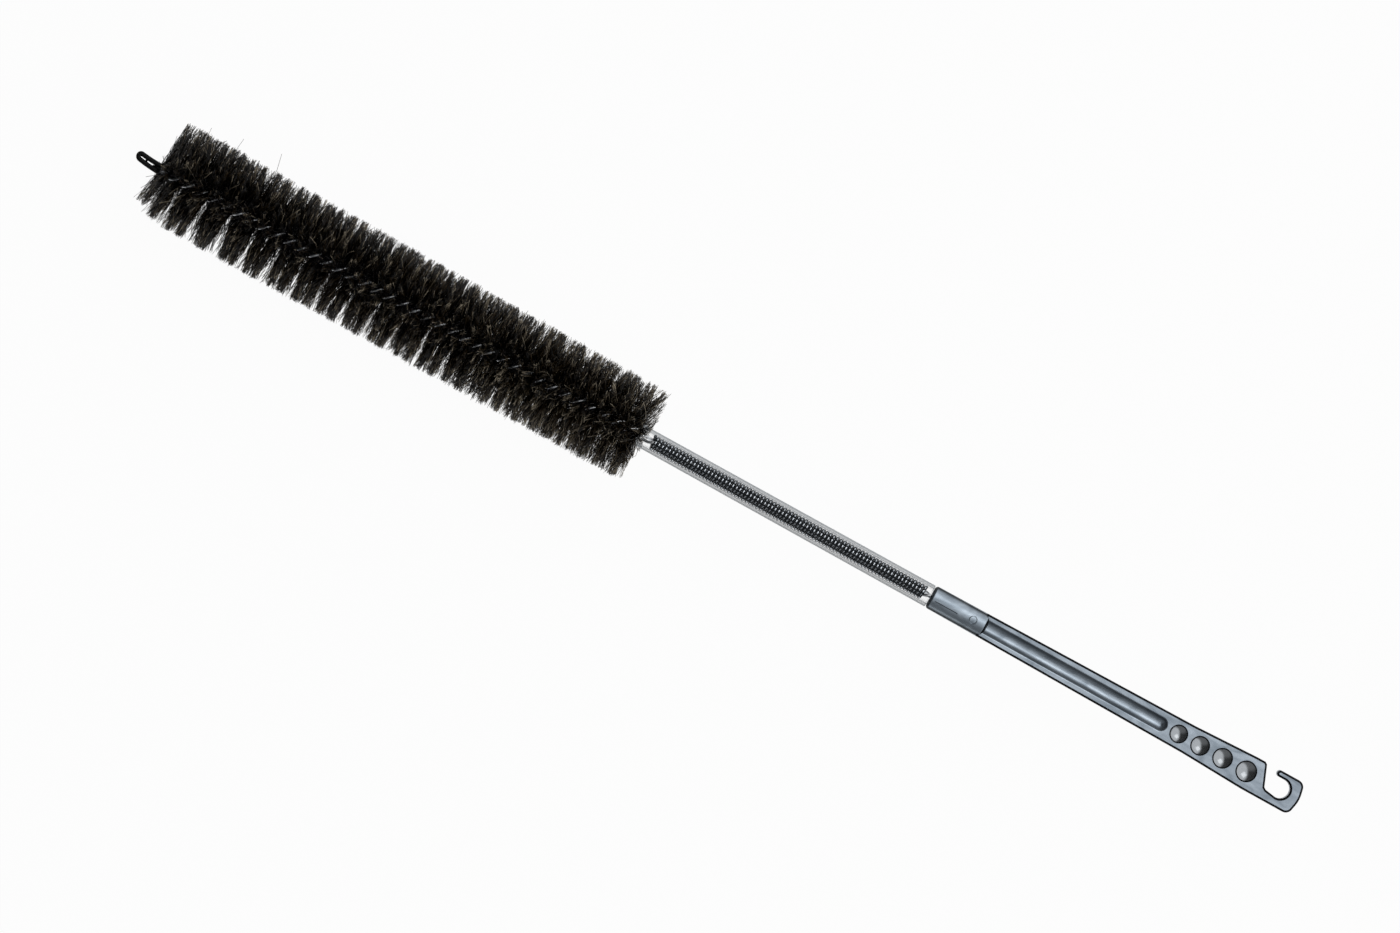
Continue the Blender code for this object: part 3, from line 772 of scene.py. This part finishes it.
wall_seen = add_node(
    clear_vinyl,
    "ShaderNodeMix",
    {0: bore, 2: skin_seen.outputs[0], 3: bore_seen.outputs[0]},
    data_type="FLOAT",
)
add_node(
    clear_vinyl,
    "ShaderNodeBsdfPrincipled",
    {"Base Color": cast.outputs[2], "Roughness": 0.05, "IOR": 1.53, "Alpha": wall_seen.outputs[0]},
)
sleeve.data.materials.append(clear_vinyl)
across_neck(sleeve)
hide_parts("clear_sleeve")

# Handle: one injection moulded bar of grey plastic with the stem moulded into its round collar. Both faces
# have the same long trough and four finger scoops, and the bar ends in an open hanging hook.
GRIP_THICKNESS = 0.0090
GRIP_EDGE_ROUND = 0.0012
GRIP_FRONT_WIDTH = 0.0140
GRIP_WAIST_WIDTH = 0.0165
GRIP_HOOK_WIDTH = 0.0196
GRIP_WAIST_FROM_END = 0.0692
GRIP_SHOULDER_FROM_END = 0.0312
HOOK_LENGTH = 0.0252
HOOK_MOUTH_WIDTH = 0.0074
HOOK_EYE_RADIUS = 0.0054
HOOK_EYE_FROM_END = 0.0121
HOOK_ARM_THICKNESS = 0.0037
HOOK_THROAT_RUN = 0.0055
HOOK_FLOOR_RISE = 0.0010
HOOK_THROAT_ROUND = 0.0010
HOOK_CORNER_RADIUS = 0.0042
HOOK_CORNER_STOP = 14
HOOK_END_BOW = 0.0009
HOOK_BOW_SHARES = np.linspace(-0.75, 0.75, 9)
HOOK_ARC_STEPS = 28
EDGE_SEGMENTS = 4
COLLAR_LENGTH = 0.0332
COLLAR_FRONT_DIAMETER = 0.0136
COLLAR_REAR_DIAMETER = 0.0141
COLLAR_ROUND = 0.0018
COLLAR_DOME = 0.0020
COLLAR_SIDES = 72
COLLAR_ROUND_STEPS = 8
COLLAR_DOME_STEPS = 11
SOCKET_RADIUS = 0.0025
SOCKET_DEPTH = 0.0313
SOCKET_SIDES = 24
TROUGH_WIDTH = 0.0077
TROUGH_DEPTH = 0.0028
TROUGH_FROM_END = 0.0832
SCOOP_COUNT = 4
SCOOP_FIRST_FROM_END = 0.0755
SCOOP_FIRST_DIAMETER = 0.0095
SCOOP_SPACING = 0.0134
SCOOP_DEPTH = 0.0021
SCOOP_GROWTH_SHARE = 1.054
LIP_ROUND = 0.0006
LIP_SECTION = ((-0.2, -0.55), (0.25, -0.15), (1.0, 0.05), (1.0, 1.0))
BOWL_RINGS = 14
BOWL_STEPS = 56
handle_end_x = handle_high.x


def arc(centre_x, centre_y, radius, start_degrees, end_degrees, steps):
    """The points of an arc in a plane, from its start to its end."""
    angles = np.radians(np.linspace(start_degrees, end_degrees, steps + 1))
    return [(centre_x + radius * math.cos(a), centre_y + radius * math.sin(a)) for a in angles]


def grip_outline():
    """The grip seen from above, anticlockwise from its front."""
    half = GRIP_HOOK_WIDTH / 2
    end = handle_end_x
    corner = HOOK_CORNER_RADIUS
    corner_x, corner_y = end - HOOK_END_BOW - corner, half - corner
    eye_x, eye_y = end - HOOK_EYE_FROM_END, half - HOOK_ARM_THICKNESS - HOOK_EYE_RADIUS
    lip = HOOK_ARM_THICKNESS / 2
    mouth = end - HOOK_LENGTH
    floor_x, floor_y = mouth + HOOK_THROAT_RUN, eye_y - HOOK_EYE_RADIUS + HOOK_FLOOR_RISE
    slope = HOOK_THROAT_RUN / (half - floor_y)
    throat = HOOK_THROAT_ROUND
    front = handle_x + COLLAR_LENGTH - GRIP_EDGE_ROUND
    return [
        (front, -GRIP_FRONT_WIDTH / 2),
        (end - GRIP_WAIST_FROM_END, -GRIP_WAIST_WIDTH / 2),
        (end - GRIP_SHOULDER_FROM_END, -half),
        *arc(corner_x, -corner_y, corner, -90, -HOOK_CORNER_STOP, HOOK_ARC_STEPS // 3),
        *[(end - HOOK_END_BOW * share * share, corner_y * share) for share in HOOK_BOW_SHARES],
        *arc(corner_x, corner_y, corner, HOOK_CORNER_STOP, 90, HOOK_ARC_STEPS // 3),
        *arc(mouth + HOOK_MOUTH_WIDTH + lip, half - lip, lip, 90, 270, HOOK_ARC_STEPS // 2),
        *arc(eye_x, eye_y, HOOK_EYE_RADIUS, 90, -90, HOOK_ARC_STEPS),
        (floor_x + throat, floor_y),
        (floor_x - throat * slope, floor_y + throat),
        (mouth + throat * slope, half - throat),
        (mouth - throat, half),
        (end - GRIP_SHOULDER_FROM_END, half),
        (end - GRIP_WAIST_FROM_END, GRIP_WAIST_WIDTH / 2),
        (front, GRIP_FRONT_WIDTH / 2),
    ]


def combine(body, other, operation):
    """Joins the other object to the body, or cuts it out, and deletes it."""
    select_only(body)
    modifier = body.modifiers.new(other.name, "BOOLEAN")
    modifier.solver = "EXACT"
    modifier.object = other
    modifier.operation = operation
    bpy.ops.object.modifier_apply(modifier=modifier.name)
    bpy.data.objects.remove(other)


def bowl_profile(width, depth):
    """Half the section of a hollow, as (reach, height over the face): a round bed, and a rounded lip.

    LIP_SECTION holds the lip's points, in lengths of LIP_ROUND out from the rim and up from the face.
    """
    radius = (width * width / 4 + depth * depth) / (2 * depth)
    rim_angle = math.asin(width / 2 / radius)
    angles = [rim_angle * i / BOWL_RINGS for i in range(BOWL_RINGS)]
    bed = [(radius * math.sin(a), radius - depth - radius * math.cos(a)) for a in angles]
    lip = [(width / 2 + out * LIP_ROUND, up * LIP_ROUND) for out, up in LIP_SECTION]
    return bed + lip + [(0, LIP_ROUND)]


mesh = bpy.data.meshes.new("grip_bar")
outline = grip_outline()
mesh.from_pydata(
    [(x, y, axis_z - GRIP_THICKNESS / 2) for x, y in outline], [], [tuple(range(len(outline)))]
)
handle = bpy.data.objects.new("grip_bar", mesh)
bpy.context.scene.collection.objects.link(handle)
select_only(handle)
bpy.ops.object.mode_set(mode="EDIT")
bpy.ops.mesh.select_all(action="SELECT")
bpy.ops.mesh.extrude_region_move(TRANSFORM_OT_translate={"value": (0, 0, GRIP_THICKNESS)})
bpy.ops.mesh.select_all(action="SELECT")
bpy.ops.mesh.normals_make_consistent(inside=False)
bpy.ops.mesh.select_mode(type="EDGE")
bpy.ops.mesh.select_all(action="DESELECT")
bpy.ops.object.mode_set(mode="OBJECT")
for edge in mesh.edges:
    ends = [mesh.vertices[i].co.z for i in edge.vertices]
    edge.select = abs(ends[0] - ends[1]) < MERGE_DISTANCE
bpy.ops.object.mode_set(mode="EDIT")
bpy.ops.mesh.bevel(offset=GRIP_EDGE_ROUND, segments=EDGE_SEGMENTS, profile=0.5, affect="EDGES")
bpy.ops.object.mode_set(mode="OBJECT")

trough_rear_x = handle_end_x - TROUGH_FROM_END - TROUGH_WIDTH / 2
trough_front_x = handle_x + COLLAR_LENGTH - TROUGH_WIDTH / 2
trough_profile = bowl_profile(TROUGH_WIDTH, TROUGH_DEPTH)
for side in (1, -1):
    face_z = axis_z + side * GRIP_THICKNESS / 2
    section = [(trough_rear_x, y, face_z + side * z) for y, z in trough_profile]
    trough = turned("trough", section, (trough_rear_x, 0, face_z), (0, 0, 1), BOWL_STEPS // 2, math.pi)
    bpy.ops.object.mode_set(mode="EDIT")
    bpy.ops.mesh.select_mode(type="EDGE")
    bpy.ops.mesh.select_all(action="DESELECT")
    bpy.ops.mesh.select_non_manifold()
    bpy.ops.mesh.edge_face_add()
    bpy.ops.mesh.extrude_region_move(
        TRANSFORM_OT_translate={"value": (trough_front_x - trough_rear_x, 0, 0)}
    )
    bpy.ops.mesh.select_all(action="SELECT")
    bpy.ops.mesh.normals_make_consistent(inside=False)
    bpy.ops.object.mode_set(mode="OBJECT")
    combine(handle, trough, "DIFFERENCE")

collar_front, collar_rear = COLLAR_FRONT_DIAMETER / 2, COLLAR_REAR_DIAMETER / 2
collar_end_x = handle_x + COLLAR_LENGTH
front_round = arc(
    handle_x + COLLAR_ROUND, collar_front - COLLAR_ROUND, COLLAR_ROUND, 180, 90, COLLAR_ROUND_STEPS
)
dome_angles = np.linspace(0, math.pi / 2, COLLAR_DOME_STEPS + 1)
dome = [(collar_end_x + COLLAR_DOME * math.sin(a), collar_rear * math.cos(a)) for a in dome_angles]
collar = turned_on_axis("collar", [(handle_x, 0), *front_round, *dome], COLLAR_SIDES)
combine(handle, collar, "UNION")

scoop_x = handle_end_x - SCOOP_FIRST_FROM_END
for scoop_index in range(SCOOP_COUNT):
    growth = SCOOP_GROWTH_SHARE**scoop_index
    for side in (1, -1):
        face_z = axis_z + side * GRIP_THICKNESS / 2
        section = [
            (scoop_x + reach, 0, face_z + side * z)
            for reach, z in bowl_profile(SCOOP_FIRST_DIAMETER * growth, SCOOP_DEPTH)
        ]
        scoop = turned("scoop", section, (scoop_x, 0, face_z), (0, 0, 1), BOWL_STEPS)
        combine(handle, scoop, "DIFFERENCE")
    scoop_x += SCOOP_SPACING * growth

socket_front_x, socket_rear_x = handle_x - COLLAR_ROUND, handle_x + SOCKET_DEPTH
socket_section = [(socket_front_x, 0), (socket_front_x, SOCKET_RADIUS)]
socket_section += [(socket_rear_x, SOCKET_RADIUS), (socket_rear_x, 0)]
combine(handle, turned_on_axis("socket", socket_section, SOCKET_SIDES), "DIFFERENCE")

# Two fine grooves on the collar's upper side: a witness line of the mould insert and a plain ejector ring.
GROOVE_WIDTH = 0.00050
GROOVE_ROUNDNESS = 2
LINE_START, LINE_END, LINE_SIDE, LINE_POINTS = 0.0012, 0.0172, -0.0012, 12
RING_PLACE, RING_RADIUS, RING_POINTS = 0.0264, 0.0021, 40


def on_collar(along, y):
    """The point of the collar's upper side that lies this far along it and this far aside."""
    share = min(max(along / COLLAR_LENGTH, 0), 1)
    radius = collar_front + (collar_rear - collar_front) * share
    return handle_x + along, y, axis_z + math.sqrt(radius * radius - y * y)


line_run = np.linspace(LINE_START + COLLAR_ROUND, LINE_END, LINE_POINTS)
line_route = [on_collar(along, LINE_SIDE) for along in line_run]
ring_route = [
    on_collar(RING_PLACE + RING_RADIUS * math.cos(a), RING_RADIUS * math.sin(a))
    for a in np.linspace(0, math.tau, RING_POINTS, endpoint=False)
]
witness_line = wire_along("witness_line", line_route, GROOVE_WIDTH, GROOVE_ROUNDNESS)
combine(handle, witness_line, "DIFFERENCE")
ejector_ring = wire_along("ejector_ring", ring_route, GROOVE_WIDTH, GROOVE_ROUNDNESS, ring=True)
combine(handle, ejector_ring, "DIFFERENCE")

select_only(handle)
bpy.ops.object.shade_smooth_by_angle(angle=SMOOTH_ANGLE)
handle.modifiers.new("flat faces", "WEIGHTED_NORMAL").keep_sharp = True
bpy.ops.object.modifier_apply(modifier="flat faces")

# Marks for the material, at each corner of each face. The first is painted shade, dark where the surface
# turns from the light: 1 round the outer edges, along the scoops' lips and at the collar's two ends, less on
# the flanks, in the collar's two grooves and up the trough's walls, and 0 on flats. The second, scoop_floor,
# is 1 on the floors of the scoops.
HOOK_MARGIN = 0.0012
COLLAR_END_FROM, COLLAR_END_TO = 0.15, 0.55
FLANK_FROM, FLANK_TO = 0.66, 0.94
FLANK_FADE_FROM, FLANK_FADE = 0.95, 0.8
GROOVE_BED, GROOVE_SHARE = GROOVE_WIDTH / 12, 0.85
UPRIGHT_NORMAL, UPRIGHT_SHARE = 0.1, 0.25
WALL_FROM, WALL_TO, WALL_END, WALL_SHARE = 0.25, 0.80, 0.999, 0.70
FLAT_NORMAL, SCOOP_FLAT_NORMAL = 0.999, 0.9999
LIP_TOP, LIP_BOTTOM = 0.02 * LIP_ROUND, 0.6 * LIP_ROUND
hollow_reach = TROUGH_WIDTH / 2 + 2 * LIP_ROUND
hollows_end_x = handle_end_x - HOOK_LENGTH - HOOK_MARGIN
first_scoop_x = handle_end_x - SCOOP_FIRST_FROM_END - SCOOP_FIRST_DIAMETER / 2 - LIP_ROUND
painted_edge_shade = np.zeros(len(handle.data.loops))
scoop_floors = np.zeros(len(handle.data.loops))
for face in handle.data.polygons:
    loops = list(face.loop_indices)
    corners = [handle.data.vertices[i].co for i in face.vertices]
    least_x, most_x = min(c.x for c in corners), max(c.x for c in corners)
    in_hollow = min(abs(c.y) for c in corners) < hollow_reach and least_x < hollows_end_x
    level = abs(face.normal.z)
    if most_x < collar_end_x + COLLAR_DOME + MERGE_DISTANCE:
        at_end = smooth_step((abs(face.normal.x) - COLLAR_END_FROM) / (COLLAR_END_TO - COLLAR_END_FROM))
        for loop_index, corner in zip(loops, corners):
            aside = abs(corner.y) / collar_front
            flank = smooth_step((aside - FLANK_FROM) / (FLANK_TO - FLANK_FROM))
            flank *= 1 - FLANK_FADE * smooth_step((aside - FLANK_FADE_FROM) / (1 - FLANK_FADE_FROM))
            painted_edge_shade[loop_index] = max(at_end, flank)
        from_axis = math.hypot(face.center.y, face.center.z - axis_z)
        if collar_front / 2 < from_axis < collar_front - GROOVE_BED and face.center.x < collar_end_x:
            painted_edge_shade[loops] = GROOVE_SHARE
    elif not in_hollow and level < FLAT_NORMAL:
        painted_edge_shade[loops] = 1.0 if level > UPRIGHT_NORMAL else UPRIGHT_SHARE
    elif in_hollow and least_x < first_scoop_x - MERGE_DISTANCE and level < FLAT_NORMAL:
        for loop_index, corner in zip(loops, corners):
            reach = math.hypot(max(corner.x - trough_rear_x, 0), corner.y) / (TROUGH_WIDTH / 2)
            wall_share = smooth_step((reach - WALL_FROM) / (WALL_TO - WALL_FROM))
            painted_edge_shade[loop_index] = WALL_SHARE * wall_share * (reach < WALL_END)
    elif in_hollow and least_x > first_scoop_x and level < SCOOP_FLAT_NORMAL:
        depth = GRIP_THICKNESS / 2 - abs(face.center.z - axis_z)
        if depth > LIP_BOTTOM:
            scoop_floors[loops] = 1.0
        elif depth > LIP_TOP:
            painted_edge_shade[loops] = 1.0
# Painted shade round the edges, grooves and walls, then the scoops' floors.
mark(handle, "painted_edge_shade", painted_edge_shade, domain="CORNER")
mark(handle, "scoop_floor", scoop_floors, domain="CORNER")

# Injection moulded ABS with aluminium pigment: a satin silver grey, bright where it faces the panel and
# dark where it turns away. Round the edges, at the collar's ends, in its grooves and up the trough's walls
# its colour is painted down towards near black and its metal taken away: painted shade. The flakes drift in
# the melt, which leaves faint clouds. The scoops' floors are smoother and paler. The mould's fine grain is
# drawn coarse enough to show.
silver_plastic = new_material("Moulded silver grey ABS")
CLOUD_SIZE = 0.006
CLOUD_STRETCH = 0.45
GRAIN_SIZE = 0.0007
place = add_node(silver_plastic, "ShaderNodeTexCoord").outputs["Object"]
flow = add_node(
    silver_plastic, "ShaderNodeMapping", {"Vector": place, "Scale": (CLOUD_STRETCH, 1.0, 1.0)}
)
clouds = add_node(
    silver_plastic,
    "ShaderNodeTexNoise",
    {"Vector": flow.outputs[0], "Scale": 1 / CLOUD_SIZE, "Detail": 4.0, "Distortion": 0.8},
)
drift = add_node(
    silver_plastic,
    "ShaderNodeMapRange",
    {"Value": clouds.outputs[0], "From Min": 0.35, "From Max": 0.65},
)
melt_and_painted_shade = add_node(
    silver_plastic,
    "ShaderNodeMix",
    {0: drift.outputs[0], 6: linear("#8C97A1"), 7: linear("#B3BEC8")},
    data_type="RGBA",
)
scoop_floor = add_node(silver_plastic, "ShaderNodeAttribute", attribute_name="scoop_floor").outputs["Fac"]
melt_and_painted_shade = add_node(
    silver_plastic,
    "ShaderNodeMix",
    {0: scoop_floor, 6: melt_and_painted_shade.outputs[2], 7: linear("#AAAEB1")},
    data_type="RGBA",
)
# Painted shade: the marked edges, grooves and walls darken towards near black and lose their metal.
painted_shade = add_node(silver_plastic, "ShaderNodeAttribute", attribute_name="painted_edge_shade").outputs["Fac"]
melt_and_painted_shade = add_node(
    silver_plastic,
    "ShaderNodeMix",
    {0: painted_shade, 6: melt_and_painted_shade.outputs[2], 7: linear("#0C0E11")},
    data_type="RGBA",
)
flake = add_node(silver_plastic, "ShaderNodeMapRange", {"Value": painted_shade, "To Min": 0.90, "To Max": 0.0})
roughness = add_node(
    silver_plastic, "ShaderNodeMapRange", {"Value": painted_shade, "To Min": 0.32, "To Max": 0.60}
)
roughness = add_node(
    silver_plastic,
    "ShaderNodeMix",
    {0: scoop_floor, 2: roughness.outputs[0], 3: 0.20},
    data_type="FLOAT",
)
grain = add_node(
    silver_plastic, "ShaderNodeTexNoise", {"Vector": place, "Scale": 1 / GRAIN_SIZE, "Detail": 2.0}
)
satin = add_node(
    silver_plastic, "ShaderNodeBump", {"Height": grain.outputs[0], "Strength": 0.006, "Distance": 0.0001}
)
add_node(
    silver_plastic,
    "ShaderNodeBsdfPrincipled",
    {
        "Base Color": melt_and_painted_shade.outputs[2],
        "Metallic": flake.outputs[0],
        "Roughness": roughness.outputs[0],
        "IOR": 1.54,
        "Specular IOR Level": 0.1,
        "Normal": satin.outputs[0],
    },
)
handle.data.materials.append(silver_plastic)
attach(handle, "grip")
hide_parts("handle")
